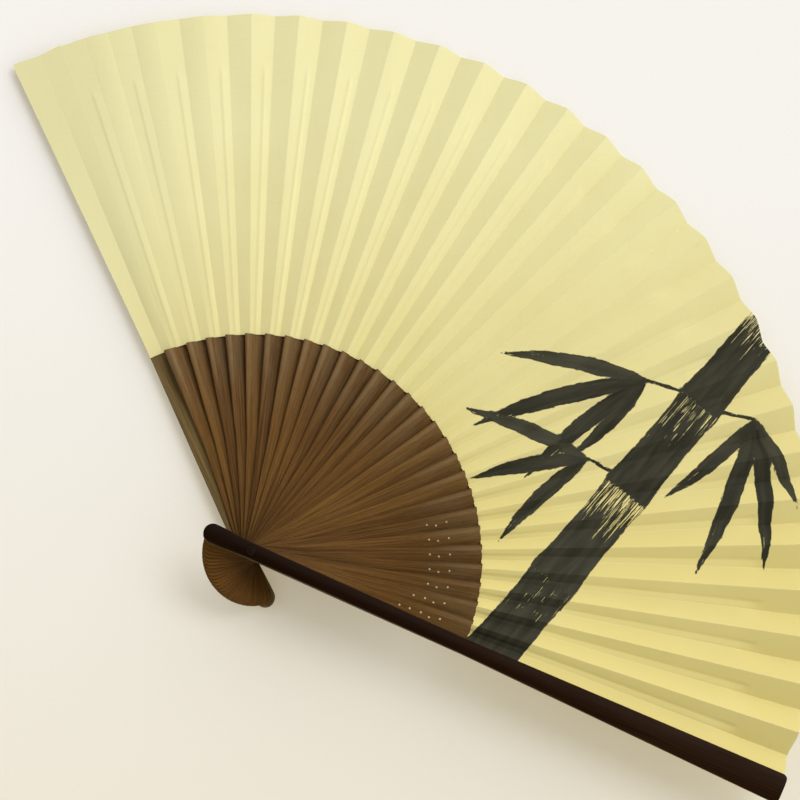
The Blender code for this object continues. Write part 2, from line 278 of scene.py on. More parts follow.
def fold_slope(index):
    """Rise of a stick's high crease over its middle line, for each metre from the rivet."""
    return PANEL_SLOPE * math.sin(pleat_tilt(index))


def ease(value):
    """A smooth rise from 0 to 1."""
    value = np.clip(value, 0.0, 1.0)
    return value * value * (3 - 2 * value)


def flat_blank(name, lengthwise, across):
    """A flat blank, 2 long and 2 wide, with that many squares each way, alone in the selection."""
    bpy.ops.object.select_all(action="DESELECT")
    bpy.ops.mesh.primitive_grid_add(x_subdivisions=lengthwise, y_subdivisions=across, size=2)
    piece = bpy.context.object
    piece.name = piece.data.name = name
    return piece


def points_of(piece):
    """The mesh's points as rows of x, y and z."""
    flat = np.empty(len(piece.data.vertices) * 3, np.float32)
    piece.data.vertices.foreach_get("co", flat)
    return flat.reshape(-1, 3).astype(float)


def set_points(piece, points):
    """Moves the mesh's points."""
    piece.data.vertices.foreach_set("co", np.asarray(points, np.float32).ravel())
    piece.data.update()


def keep_values(piece, name, values):
    """Keeps a number or a place for each point in the mesh, for the material to read."""
    values = np.asarray(values, np.float32)
    kind, field = ("FLOAT_VECTOR", "vector") if values.ndim == 2 else ("FLOAT", "value")
    piece.data.attributes.new(name, kind, "POINT").data.foreach_set(field, values.ravel())


def select_only(piece):
    """Selects the piece and nothing else."""
    bpy.ops.object.select_all(action="DESELECT")
    piece.select_set(True)
    bpy.context.view_layer.objects.active = piece


def finish_modifiers(piece):
    """Applies the piece's modifiers in their order."""
    select_only(piece)
    for modifier in list(piece.modifiers):
        bpy.ops.object.modifier_apply(modifier=modifier.name)


def round_edges(piece, width, segments):
    """Rounds the sharp edges."""
    bevel = piece.modifiers.new("edges", "BEVEL")
    bevel.width = width
    bevel.segments = segments
    bevel.limit_method = "ANGLE"
    bevel.angle_limit = math.radians(ROUND_FROM_DEG)
    bevel.harden_normals = False
    finish_modifiers(piece)


def drill(piece, radius, place, depth, sides=24):
    """Drills an upright hole through the piece, and takes the drill away again."""
    bpy.ops.object.select_all(action="DESELECT")
    bpy.ops.mesh.primitive_cylinder_add(vertices=sides, radius=radius, depth=depth, location=place)
    bit = bpy.context.object
    hole = piece.modifiers.new("hole", "BOOLEAN")
    hole.operation = "DIFFERENCE"
    hole.object = bit
    hole.use_self = True
    finish_modifiers(piece)
    bpy.data.objects.remove(bit, do_unlink=True)


def smooth_by_angle(piece):
    """Smooth shading, with the sharper edges kept sharp."""
    select_only(piece)
    bpy.ops.object.shade_smooth_by_angle(angle=math.radians(SMOOTH_TO_DEG))


def coat(piece, paint):
    """Gives the piece its one material."""
    piece.data.materials.clear()
    piece.data.materials.append(paint)


def tail_half_width(x, reach, width):
    """Half width of a round tail."""
    offset = x + reach - width / 2
    return np.sqrt(np.maximum((width / 2) ** 2 - offset ** 2, 0.0))


def corner_loss(x, tip, rounding):
    """How much a tip's rounded corners take off the half width."""
    corner = np.maximum(x - (tip - rounding), 0)
    return rounding - np.sqrt(np.maximum(rounding ** 2 - corner ** 2, 0))


def guard_half_width(x, tip):
    """Half width of a guard at each place along it."""
    centre = -GUARD_TAIL_REACH + GUARD_TAIL_WIDTH / 2
    to_neck = GUARD_TAIL_WIDTH + (GUARD_NECK_WIDTH - GUARD_TAIL_WIDTH) * ease((x - centre) / -centre)
    past_neck = np.clip((x - GUARD_NECK_END) / (tip - GUARD_NECK_END), 0, 1)
    taper = GUARD_NECK_WIDTH + (GUARD_TIP_WIDTH - GUARD_NECK_WIDTH) * past_neck
    body = np.where(x < 0, to_neck, taper) / 2 - corner_loss(x, tip, GUARD_TIP_ROUNDING)
    return np.where(x < centre, tail_half_width(x, GUARD_TAIL_REACH, GUARD_TAIL_WIDTH), body)


def guard_inner_height(x, slope):
    """Height of the inner face over the outer one: thick at the rivet, thin over the leaf."""
    over_leaf = FIRST_STICK_Z - slope * x - END_PANEL_HALF - END_PANEL_GAP
    share = ease((x - GUARD_THINNING_START) / (LEAF_INNER - GUARD_THINNING_START))
    return GUARD_THICKNESS + (over_leaf - GUARD_THICKNESS) * share


def stations(reach, width, tip, rounding, bulk):
    """Places along a stick: close together round the tail and at the tip's corners, even between them."""
    turns = np.radians(np.linspace(TAIL_FIRST_DEG, 90, TAIL_STEPS))
    tail = -reach + width / 2 - width / 2 * np.cos(turns)
    turns = np.radians(np.linspace(0, 90, CORNER_STEPS))
    end = tip - rounding * (1 - np.sin(turns))
    return np.concatenate([tail, np.linspace(tail[-1], end[0], bulk)[1:-1], end])


def stick_blank(name, places, across):
    """A flat blank, and its points: spread to the places along the stick, and still 2 wide."""
    piece = flat_blank(name, len(places) - 1, across)
    points = points_of(piece)
    column = np.rint((points[:, 0] + 1) / 2 * (len(places) - 1)).astype(int)
    points[:, 0] = places[column]
    return piece, points


def guard_stick(name, tip, slope):
    """A guard along +X with its outer face down, bored and sunk for the rivet."""
    places = stations(GUARD_TAIL_REACH, GUARD_TAIL_WIDTH, tip, GUARD_TIP_ROUNDING, GUARD_STATIONS)
    piece, points = stick_blank(name, places, GUARD_ACROSS)
    across = points[:, 1].copy()
    points[:, 1] = across * guard_half_width(points[:, 0], tip)
    points[:, 2] = GUARD_CROWN * across ** 2
    set_points(piece, points)
    bpy.ops.object.mode_set(mode="EDIT")
    bpy.ops.mesh.select_all(action="SELECT")
    bpy.ops.mesh.extrude_region_move(TRANSFORM_OT_translate={"value": (0, 0, GUARD_BLANK_HEIGHT)})
    bpy.ops.mesh.select_all(action="SELECT")
    bpy.ops.mesh.normals_make_consistent(inside=False)
    bpy.ops.object.mode_set(mode="OBJECT")
    points = points_of(piece)
    inner_face = points[:, 2] > GUARD_BLANK_HEIGHT / 2
    points[inner_face, 2] = guard_inner_height(points[inner_face, 0], slope)
    set_points(piece, points)
    round_edges(piece, GUARD_EDGE, 3)
    drill(piece, RIVET_HOLE_RADIUS, (0, 0, GUARD_MIDDLE_Z), DRILL_LENGTH)
    drill(piece, RIVET_SINK_RADIUS, (0, 0, 0), 2 * RIVET_SINK_DEPTH)
    smooth_by_angle(piece)
    points = points_of(piece)
    side = points[:, 1] / np.maximum(guard_half_width(points[:, 0], tip), NARROWEST)
    below = guard_inner_height(points[:, 0], slope) - points[:, 2]
    keep_values(piece, "stick_place", points * MM)
    keep_values(piece, "across", np.clip(side, -1, 1))
    keep_values(piece, "inner_face", ease(INNER_FACE_REACH - below / GUARD_EDGE))
    return piece


def stretched(tree, place, factors):
    """The place with each direction scaled on its own."""
    return node(tree, "ShaderNodeVectorMath", {0: place, 1: factors}, operation="MULTIPLY").outputs[0]


def kept(tree, name, output="Fac"):
    """The number, or with output Vector the place, that the mesh keeps for each point."""
    return node(tree, "ShaderNodeAttribute", attribute_name=name).outputs[output]


STREAK_SCALES = (0.035, 1.7, 1.7)
PORE_SCALES = (0.30, 7.0, 7.0)
PATCH_SCALES = (0.045, 0.16, 0.16)


def grain_group():
    """Grain of split wood: long streaks and fine pores along a stick, from the place on it in millimetres."""
    group = bpy.data.node_groups.new("stick_grain", "ShaderNodeTree")
    group.interface.new_socket("Place", in_out="INPUT", socket_type="NodeSocketVector")
    for name in ("Streaks", "Pores", "Patches"):
        group.interface.new_socket(name, in_out="OUTPUT", socket_type="NodeSocketFloat")
    place = node(group, "NodeGroupInput").outputs["Place"]
    streaks = noise(group, stretched(group, place, STREAK_SCALES), 1.0, 4.0, 0.65)
    pores = noise(group, stretched(group, place, PORE_SCALES), 1.0, 3.0, 0.6)
    patches = noise(group, stretched(group, place, PATCH_SCALES), 1.0, 2.0)
    node(group, "NodeGroupOutput", {"Streaks": remap(group, streaks, 0.30, 0.70),
                                    "Pores": remap(group, pores, 0.35, 0.72),
                                    "Patches": remap(group, patches, 0.30, 0.70)})
    return group


stick_grain_group = grain_group()


def stick_grain(tree):
    """The grain group placed in a material: its streaks, pores and patches."""
    made = node(tree, "ShaderNodeGroup", node_tree=stick_grain_group)
    tree.links.new(kept(tree, "stick_place", "Vector"), made.inputs["Place"])
    return made.outputs["Streaks"], made.outputs["Pores"], made.outputs["Patches"]


LACQUER_DARK = (0.0060, 0.0018, 0.0003, 1.0)
LACQUER_SHEEN = (0.0240, 0.0088, 0.0022, 1.0)
LACQUER_WORN = (0.0400, 0.0170, 0.0050, 1.0)
INNER_DARK = (0.1000, 0.0620, 0.0200, 1.0)
INNER_LIGHT = (0.2000, 0.1350, 0.0520, 1.0)
LACQUER_GRAIN_DEPTH = 0.00005

# The lacquer is painted lighter towards the tip, a painted sheen broken up by its streaks, and worn along the
# edges. The bare inner face shows its streaks.
tree, shader, lacquer = new_finish("dark_lacquer")
streaks, pores, patches = stick_grain(tree)
along = parts_of(tree, kept(tree, "stick_place", "Vector"))[0]
near_edge = sums(tree, "ABSOLUTE", kept(tree, "across"))
bare = kept(tree, "inner_face")
# Painted sheen: the lacquer turns lighter towards the tip, mixed with the grain's streaks.
tip_sheen_and_grain = times(tree, remap(tree, along, 0.0, 190.0, 0.25, 1.0), sums(tree, "MULTIPLY_ADD", streaks, 0.6, 0.4))
outer = mixed(tree, tip_sheen_and_grain, LACQUER_DARK, LACQUER_SHEEN)
wear = times(tree, remap(tree, near_edge, 0.80, 0.98), remap(tree, patches, 0.35, 0.85, 0.1, 0.5))
outer = mixed(tree, wear, outer, LACQUER_WORN)
inner = mixed(tree, streaks, INNER_DARK, INNER_LIGHT)
roughness = plus(tree, remap(tree, patches, 0.0, 1.0, 0.34, 0.46), times(tree, bare, 0.22))
relief = plus(tree, streaks, times(tree, pores, 0.5))
set_shader(tree, shader, Base_Color=mixed(tree, bare, outer, inner), Roughness=roughness,
           Specular_IOR_Level=0.045, Normal=bumps(tree, 0.25, LACQUER_GRAIN_DEPTH, relief))

left_guard = guard_stick("left_guard_stick", LEFT_GUARD_TIP, fold_slope(0))
left_guard.data.transform(stick_turn(0))
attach(left_guard, "left_guard")
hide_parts("left_guard")

# The right guard is turned over and lies on top of the stack, so its outer face is up.
right_guard = guard_stick("right_guard_stick", RIGHT_GUARD_TIP, fold_slope(RIB_COUNT + 1))
right_guard.data.transform(Matrix.Translation((0, 0, FAN_THICKNESS)) @ stick_turn(RIB_COUNT + 1)
                           @ Matrix.Rotation(math.pi, 4, "X"))
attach(right_guard, "right_guard")
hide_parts("right_guard")

for guard in (left_guard, right_guard):
    guard.data.update()
    coat(guard, lacquer)


# Rivet. A turned pin of dark metal goes through all the sticks, and its two flat heads are sunk into the
# guards' outer faces. It is the only thing that holds the sticks together, and they all turn on it.
RIVET_RADIUS = 0.0011
RIVET_HEAD_RADIUS = 0.0020
RIVET_HEAD_HEIGHT = 0.0007
RIVET_EDGE = 0.00025
RIVET_DARK = (0.006, 0.002, 0.001, 1.0)
RIVET_RUBBED = (0.016, 0.007, 0.002, 1.0)
TARNISH_SCALE, TARNISH_DEPTH = 1500.0, 0.00004

bpy.ops.object.select_all(action="DESELECT")
bpy.ops.mesh.primitive_cylinder_add(vertices=32, radius=RIVET_HEAD_RADIUS, depth=RIVET_HEAD_HEIGHT,
                                    location=(0, 0, RIVET_HEAD_HEIGHT / 2))
rivet = bpy.context.object
rivet.name = rivet.data.name = "rivet_pin"
bpy.ops.object.transform_apply(location=True, rotation=True, scale=True)


def pick_faces(piece, wanted):
    """Selects the faces that pass the test, in edit mode."""
    shape = bmesh.from_edit_mesh(piece.data)
    shape.select_mode = {"FACE"}
    for face in shape.faces:
        face.select_set(False)
    for face in shape.faces:
        if wanted(face):
            face.select_set(True)
    shape.select_flush(True)
    bmesh.update_edit_mesh(piece.data)


def draw_up(height):
    """Extrudes the picked face straight up."""
    bpy.ops.mesh.extrude_region_move(TRANSFORM_OT_translate={"value": (0, 0, height)})


# The lower head's top face is inset and drawn up into the shaft. At its end a new face is widened, and drawn
# up into the upper head.
bpy.ops.object.mode_set(mode="EDIT")
bpy.ops.mesh.select_mode(type="FACE")
pick_faces(rivet, lambda face: face.normal.z > 0.9)
bpy.ops.mesh.inset(thickness=RIVET_HEAD_RADIUS - RIVET_RADIUS)
draw_up(FAN_THICKNESS - 2 * RIVET_HEAD_HEIGHT)
draw_up(0.0)
widening = RIVET_HEAD_RADIUS / RIVET_RADIUS
bpy.ops.transform.resize(value=(widening, widening, 1), center_override=(0, 0, FAN_THICKNESS))
draw_up(RIVET_HEAD_HEIGHT)
bpy.ops.object.mode_set(mode="OBJECT")
round_edges(rivet, RIVET_EDGE, 3)
smooth_by_angle(rivet)

tree, shader, rivet_metal = new_finish("dark_rivet")
place = node(tree, "ShaderNodeTexCoord").outputs["Object"]
tarnish = remap(tree, noise(tree, place, TARNISH_SCALE, 3.0, 0.6), 0.35, 0.70)
set_shader(tree, shader, Base_Color=mixed(tree, tarnish, RIVET_DARK, RIVET_RUBBED),
           Roughness=remap(tree, tarnish, 0.0, 1.0, 0.40, 0.58), Specular_IOR_Level=0.06,
           Normal=bumps(tree, 0.3, TARNISH_DEPTH, tarnish))
coat(rivet, rivet_metal)
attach(rivet, "left_guard")
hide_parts("pivot_pin")


# Ribs. 27 slats split from bamboo and smoked brown, each with a round tail behind the rivet, a slim waist
# and a broad part. On its way up to the leaf a slat twists to the tilt of its pleat, and its thin end goes in
# between the paper's two layers. The slats on the right are pierced with rows of small holes.
RIB_THICKNESS = 0.0005
RIB_TAIL_REACH = 0.0175
RIB_TAIL_WIDTH = 0.0066
RIB_NECK_WIDTH = 0.0052
RIB_WAIST_WIDTH = 0.0042
RIB_WAIST_START, RIB_WAIST_END = 0.0220, 0.0440
RIB_FLARE, RIB_FLARE_RUN = 0.0930, 0.0040
FIRST_RIB_STRETCH = 0.32
FIRST_RIB_STRETCH_START, FIRST_RIB_STRETCH_RUN = 0.026, 0.055
RIB_TWIST_START, RIB_TWIST_END = 0.030, 0.081
RIB_END, RIB_END_ROUNDING = 0.0842, 0.0004
RIB_THINNING_START, RIB_THIN_SHARE = 0.079, 0.20
RIB_EDGE = 0.00012
RIB_STATIONS, RIB_ACROSS = 56, 6
RIB_GRAIN_SHIFT_MM = 17.0
PINHOLE_RADIUS, PINHOLE_DRILL, PINHOLE_SIDES = 0.00037, 0.01, 12
# Each pinhole's place along its slat and off its middle line, and the first slat that has it.
PINHOLE_PLACES = ((0.0725, 0.0000, 21), (0.0685, -0.0007, 21), (0.0652, 0.0000, 21), (0.0609, 0.0000, 26),
                  (0.0570, 0.0000, 27))


def own_copy(piece, name):
    """A copy with its own mesh."""
    result = bpy.data.objects.new(name, piece.data.copy())
    result.data.name = name
    bpy.context.scene.collection.objects.link(result)
    return result


def thicken(piece, thickness):
    """Thickens a flat piece, by half to each side."""
    wall = piece.modifiers.new("thickness", "SOLIDIFY")
    wall.thickness = thickness
    wall.offset = 0.0
    finish_modifiers(piece)


def rib_half_width(x):
    """Half width of a rib at each place along it."""
    centre = -RIB_TAIL_REACH + RIB_TAIL_WIDTH / 2
    to_neck = RIB_TAIL_WIDTH + (RIB_NECK_WIDTH - RIB_TAIL_WIDTH) * ease((x - centre) / -centre)
    to_waist = RIB_NECK_WIDTH + (RIB_WAIST_WIDTH - RIB_NECK_WIDTH) * ease(x / RIB_WAIST_START)
    broadening = ease((x - RIB_WAIST_END) / RIB_FLARE_RUN)
    to_broad = RIB_WAIST_WIDTH + (RIB_FLARE * x - RIB_WAIST_WIDTH) * broadening
    width = np.where(x < 0, to_neck, np.where(x < RIB_WAIST_START, to_waist, to_broad))
    width = width - 2 * corner_loss(x, RIB_END, RIB_END_ROUNDING)
    return np.where(x < centre, tail_half_width(x, RIB_TAIL_REACH, RIB_TAIL_WIDTH), width / 2)


def twisted(points, tilt, way=1):
    """The points turned about the rib's line to the tilt of its pleat, or back again."""
    turned = points.copy()
    roll = way * tilt * ease((points[:, 0] - RIB_TWIST_START) / (RIB_TWIST_END - RIB_TWIST_START))
    turned[:, 1] = points[:, 1] * np.cos(roll) - points[:, 2] * np.sin(roll)
    turned[:, 2] = points[:, 1] * np.sin(roll) + points[:, 2] * np.cos(roll)
    return turned


rib_places = stations(RIB_TAIL_REACH, RIB_TAIL_WIDTH, RIB_END, RIB_END_ROUNDING, RIB_STATIONS)
rib_form, points = stick_blank("rib_form", rib_places, RIB_ACROSS)
points[:, 1] *= rib_half_width(points[:, 0])
set_points(rib_form, points)
thicken(rib_form, RIB_THICKNESS)
round_edges(rib_form, RIB_EDGE, 2)
drill(rib_form, RIVET_HOLE_RADIUS, (0, 0, 0), DRILL_LENGTH)
points = points_of(rib_form)
thinning = ease((points[:, 0] - RIB_THINNING_START) / (LEAF_INNER - RIB_THINNING_START))
points[:, 2] *= 1 - (1 - RIB_THIN_SHARE) * thinning
set_points(rib_form, points)

BAMBOO_DARK = (0.0720, 0.0270, 0.0015, 1.0)
BAMBOO_LIGHT = (0.2100, 0.1000, 0.0170, 1.0)
BAMBOO_SHEEN = (0.1850, 0.1200, 0.0520, 1.0)
BAMBOO_HIGHLIGHT = (0.2900, 0.1950, 0.0850, 1.0)
BAMBOO_PORE = (0.0420, 0.0150, 0.0010, 1.0)
BAMBOO_TAIL = (0.2050, 0.0850, 0.0070, 1.0)
BAMBOO_GRAIN_DEPTH = 0.00010
HIGHLIGHT_BAND_ACROSS = 0.60

# Each slat has its own tone. Its broad part is painted greyer and lighter towards the leaf, a painted sheen,
# and its tail is a lighter brown. A painted highlight band runs up its raised, lit side to the leaf, and the
# pores and the edges are dark.
tree, shader, bamboo = new_finish("smoked_bamboo")
streaks, pores, patches = stick_grain(tree)
along = parts_of(tree, kept(tree, "stick_place", "Vector"))[0]
across = kept(tree, "across")
near_edge = sums(tree, "ABSOLUTE", across)
tone = sums(tree, "MULTIPLY_ADD", kept(tree, "slat_tone"), 0.45, -0.10)
lightness = sums(tree, "MULTIPLY_ADD", streaks, 0.65, tone)
colour = mixed(tree, plus(tree, lightness, 0.0, clamp=True), BAMBOO_DARK, BAMBOO_LIGHT)
# Painted sheen: the broad part turns greyer and lighter towards the leaf.
painted_sheen = times(tree, remap(tree, along, 45.0, 84.0, 0.0, 0.55), remap(tree, patches, 0.2, 0.9, 0.4, 1.0))
colour = mixed(tree, painted_sheen, colour, BAMBOO_SHEEN)
colour = mixed(tree, remap(tree, along, -3.0, -10.0, 0.0, 0.45), colour, BAMBOO_TAIL)
# Painted highlight: a pale band along the slat's raised side, where the light falls on it.
from_highlight_band = sums(tree, "ABSOLUTE", sums(tree, "SUBTRACT", across, HIGHLIGHT_BAND_ACROSS))
highlight_band = times(tree, remap(tree, from_highlight_band, 0.06, 0.30, 0.42, 0.0), remap(tree, along, 58.0, 82.0))
colour = mixed(tree, highlight_band, colour, BAMBOO_HIGHLIGHT)
colour = mixed(tree, times(tree, pores, 0.30), colour, BAMBOO_PORE)
colour = mixed(tree, times(tree, remap(tree, near_edge, 0.86, 1.0), 0.55), colour, BAMBOO_PORE)
relief = sums(tree, "SUBTRACT", streaks, times(tree, pores, 0.4))
set_shader(tree, shader, Base_Color=colour, Roughness=remap(tree, streaks, 0.0, 1.0, 0.60, 0.46),
           Specular_IOR_Level=0.15, Normal=bumps(tree, 0.5, BAMBOO_GRAIN_DEPTH, relief))

tones = np.random.default_rng(7).uniform(0, 1, RIB_COUNT + 1)
for index in range(1, RIB_COUNT + 1):
    slat = own_copy(rib_form, f"rib_slat_{index:02d}")
    points = points_of(slat)
    if index == 1:
        # The first slat is broader on its left, where the leaf is stretched flat.
        broad = ease((points[:, 0] - FIRST_RIB_STRETCH_START) / FIRST_RIB_STRETCH_RUN)
        points[:, 1] *= np.where(points[:, 1] > 0, 1 + FIRST_RIB_STRETCH * broad, 1)
    set_points(slat, twisted(points, pleat_tilt(index)))
    for reach, side, first in PINHOLE_PLACES:
        if index >= first:
            drill(slat, PINHOLE_RADIUS, (reach, side, 0), PINHOLE_DRILL, PINHOLE_SIDES)
    smooth_by_angle(slat)
    points = twisted(points_of(slat), pleat_tilt(index), -1)
    side = points[:, 1] / np.maximum(rib_half_width(points[:, 0]), NARROWEST)
    keep_values(slat, "stick_place", points * MM + (0.0, RIB_GRAIN_SHIFT_MM * index, 0.0))
    keep_values(slat, "across", np.clip(side, -1, 1))
    keep_values(slat, "slat_tone", np.full(len(points), tones[index]))
    slat.data.transform(Matrix.Translation((0, 0, FIRST_STICK_Z + index * STICK_PITCH)) @ stick_turn(index))
    slat.data.update()
    coat(slat, bamboo)
    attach(slat, f"rib_{index:02d}")
    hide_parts(f"rib_{index:02d}")
bpy.data.objects.remove(rib_form, do_unlink=True)


# Leaf. Stiff cream paper in two layers, folded into 57 narrow panels. Every second panel holds a rib's tang
# or is glued to a guard, and the panels between them are free, so that the leaf folds up as the sticks close.
# A bamboo stalk with its leaves is brushed over the right half in black ink.
PANEL_LENGTHWISE, PANEL_ACROSS = 96, 24
PAPER_THICKNESS = 0.00016
LEFT_EDGE_OUT, RIGHT_EDGE_OUT = 0.0002, -0.0006
GUARD_CORNER_ROOM = 0.0030
FIRST_CREASE_FLATNESS = 0.65
FIRST_CREASE_START, FIRST_CREASE_RUN = 0.115, 0.080
TANG_HEIGHT, TANG_DEPTH, TANG_GROOVE = 0.00026, 0.00012, 0.00040
TANG_END, TANG_FADE = 0.188, 0.003
TANG_SIDE, TANG_SIDE_GROWTH = 0.0030, 0.0011
TANG_SIDE_START, TANG_SIDE_RUN = 0.110, 0.077
RIDGE_EDGE, FLAT_RIDGE_SHARE = 0.0010, 0.60
RIDGE_SIDE, FLAT_RIDGE_SIDE, GROOVE_SIDE = 0.0011, 0.0060, 0.0022
VALLEY_LIFT = 0.0012
LIFT_START, LIFT_RISE = 0.088, 0.025
LIFT_PAST_TANG, LIFT_FALL = 0.002, 0.014
RIM_SCALLOP = 0.0004
PAPER_WAVE = 0.00005
SIDE_WAVE_RUN, HEIGHT_WAVE_RUN = 0.023, 0.017
PAPER_BULGE = 0.00010
BULGE_RISE, BULGE_WAVE_RUN = 0.020, 0.040
LAST_PANEL = 2 * RIB_COUNT + 2

paper_phases = np.random.default_rng(11).uniform(0, 2 * math.pi, (LAST_PANEL + 2, 3))


def by_stick(stick, sticks, values):
    """A value that is given for some sticks, and changes evenly between them."""
    return float(np.interp(stick, sticks, values))


def fold_depth(stick):
    """Share of a pleat's full depth at a stick. The leaf is stretched nearly flat beside the left guard."""
    return by_stick(stick, [0, 1, 2, 3, 4, 5, 8, 10, 12, 20, 24, 26, 27, 28],
                    [1.0, -0.25, -0.12, 0.12, 0.22, 0.40, 0.60, 0.90, 1.05, 1.0, 1.0, 1.12, 1.15, 1.0])


def edge_turn(radius, tip, out):
    """Angle from a guard's middle line to the leaf's edge, which lies that far out past the guard's side."""
    return (guard_half_width(np.minimum(radius, tip - GUARD_CORNER_ROOM), tip) + out) / radius


def crease(number, radius):
    """Azimuth and height of a crease at each radius. Even creases are the high ones, on a stick's left."""
    stick = min(number // 2, RIB_COUNT + 1)
    side = 1 if number % 2 == 0 else -1
    base = FIRST_STICK_Z + stick * STICK_PITCH
    if number == 0:
        edge = edge_turn(radius, LEFT_GUARD_TIP, LEFT_EDGE_OUT)
        return stick_azimuth(0) + edge, base - fold_slope(0) * radius
    if number == LAST_PANEL + 1:
        edge = edge_turn(radius, RIGHT_GUARD_TIP, RIGHT_EDGE_OUT)
        return stick_azimuth(stick) - edge, base + fold_slope(stick) * radius
    side_phase, height_phase = paper_phases[number][:2]
    free = 0.0 if number in (1, LAST_PANEL) else 1.0
    wander = free * PAPER_WAVE * np.sin(radius / SIDE_WAVE_RUN + side_phase) / radius
    depth = fold_slope(stick) * radius * fold_depth(stick)
    if number == 1:
        depth = depth * (1 - FIRST_CREASE_FLATNESS * ease((radius - FIRST_CREASE_START) / FIRST_CREASE_RUN))
    height = base + side * depth + free * PAPER_WAVE * np.sin(radius / HEIGHT_WAVE_RUN + height_phase)
    return stick_azimuth(stick) + side * half_spread(stick) + wander, height


def tang_edge(radius):
    """Distance from a rib's low crease to the edge of its tang inside the paper."""
    return TANG_SIDE + (radius - TANG_SIDE_START) / TANG_SIDE_RUN * TANG_SIDE_GROWTH


def valley_lift(stick, radius):
    """How far the stretched paper holds a low crease up: slightly by the left guard, most on the right."""
    amount = VALLEY_LIFT * by_stick(stick, [3, 7, 8, 20], [0.13, 0.0, 0.0, 1.0]) * (0 < stick <= RIB_COUNT)
    rise = ease((radius - LIFT_START) / LIFT_RISE)
    return amount * rise * ease((TANG_END + LIFT_PAST_TANG - radius) / LIFT_FALL)


def panel_points(number, share, radius):
    """Points of a panel between its left crease, share 1, and its right crease, share 0."""
    from_high = share if number % 2 else 1 - share
    scallop = RIM_SCALLOP * np.cos(math.pi * from_high) * fold_depth(number // 2)
    radius = radius + scallop * ease((radius - LEAF_INNER) / (LEAF_OUTER - LEAF_INNER))
    left_azimuth, left_height = crease(number, radius)
    right_azimuth, right_height = crease(number + 1, radius)
    azimuth = right_azimuth + (left_azimuth - right_azimuth) * share
    height = right_height + (left_height - right_height) * share
    if 0 < number < LAST_PANEL:
        swell = 1 + np.sin(radius / BULGE_WAVE_RUN + paper_phases[number][2])
        rise = ease((radius - LEAF_INNER) / BULGE_RISE)
        height = height + PAPER_BULGE * swell * 4 * share * (1 - share) * rise
        from_valley = share * 2 * radius * PANEL_SLOPE / tang_edge(radius)
        lifted = share ** 2 if number % 2 else np.maximum(1 - from_valley, 0)
        height = height + valley_lift(number // 2, radius) * lifted
    return np.stack([radius * np.cos(azimuth), radius * np.sin(azimuth), height], axis=1)


def tang_rise(number, share, radius, valley_side):
    """Height of the line that a rib's tang makes in its panel, as a share of the full height. Towards the low
    crease it slopes off over the given valley side."""
    if number % 2 or number in (0, LAST_PANEL):
        return 0 * radius
    from_right = share * 2 * radius * PANEL_SLOPE
    edge = tang_edge(radius)
    valley_side = np.minimum(valley_side, edge - RIDGE_EDGE)
    low_slope = (from_right - edge + RIDGE_EDGE + valley_side) / valley_side
    high_slope = (edge - from_right) / RIDGE_EDGE
    return np.clip(np.minimum(low_slope, high_slope), 0, 1) * ease((TANG_END - radius) / TANG_FADE)


# The ink, in millimetres up the open fan's middle line and to the right of it. Each stroke has points along
# it, its half width at its start and end, its shape, how dry the brush runs at its end, and how thin the ink
# is. A spray has the place where its leaves meet, and their directions in degrees, lengths and half widths.
MIDDLE_LINE_DEG = 46.0
NO_INK = -100.0
STALK = [
    ([(28, 87), (48, 86), (69, 84.5)], 9.6, 8.8, "stalk", 0.55, 0.0),
    ([(73, 84), (92, 82.5), (112, 81)], 9.0, 8.4, "stalk", 0.75, 0.1),
    ([(116, 80.5), (136, 79), (156, 77.5)], 8.6, 8.0, "stalk", 0.60, 0.0),
    ([(160, 77), (180, 75.5), (206, 74)], 8.2, 7.6, "stalk", 0.80, 0.1)]
TWIGS = [
    ([(158, 78), (156, 68), (150, 56)], 0.9, 0.6, "twig", 0.2, 0.0),
    ([(158, 77), (163, 88), (168, 96)], 0.9, 0.6, "twig", 0.2, 0.0),
    ([(114, 81), (116, 72), (113, 62)], 0.9, 0.6, "twig", 0.2, 0.0)]
LEAF_SPRAYS = [
    ((150, 57), [(-166, 60, 5.4), (-142, 68, 5.8), (-116, 56, 5.0), (172, 42, 4.4)]),
    ((168, 96), [(150, 64, 5.6), (126, 58, 5.2), (104, 37, 4.2), (177, 46, 4.6)]),
    ((113, 62), [(-170, 46, 4.8), (-137, 44, 5.0), (-104, 50, 4.8)])]
INKED_LEAF_BEND_DEG = 8
INKED_LEAF_DRYNESS, INKED_LEAF_THINNESS = 0.45, 0.30
INKED_LEAF_SWELL, INKED_LEAF_FOOT_POWER, INKED_LEAF_POINT_POWER = 1.75, 0.62, 0.95
STALK_FLARE, STALK_FLARE_POWER = 0.10, 4
DRY_START, DRY_RUN = 0.15, 0.75
INK_GRAIN_SHIFT_MM = 13.0


def brush_strokes():
    """All the strokes. A spray's leaves bend a little downwards, and every third one is in thin ink."""
    strokes = STALK + TWIGS
    for (up, right), leaves in LEAF_SPRAYS:
        for count, (turn, length, half) in enumerate(leaves):
            bend = INKED_LEAF_BEND_DEG if turn > 0 else -INKED_LEAF_BEND_DEG
            points = []
            for share in (0.0, 0.25, 0.5, 0.75, 1.0):
                angle = math.radians(turn + bend * share)
                reach = length * share
                points.append((up + reach * math.cos(angle), right + reach * math.sin(angle)))
            thinness = INKED_LEAF_THINNESS if count % 3 == 2 else 0.0
            strokes.append((points, half, half, "leaf", INKED_LEAF_DRYNESS, thinness))
    return strokes


def stroke_shape(kind, share, start, end):
    """Half width of a stroke along it: a leaf swells and runs out to a point, a stalk flares at its ends."""
    if kind == "leaf":
        from_foot = np.maximum(share, 1e-4) ** INKED_LEAF_FOOT_POWER
        return start * INKED_LEAF_SWELL * from_foot * np.maximum(1 - share, 0) ** INKED_LEAF_POINT_POWER
    flare = STALK_FLARE * np.abs(2 * share - 1) ** STALK_FLARE_POWER if kind == "stalk" else 0.0
    return (start + (end - start) * share) * (1 + flare)


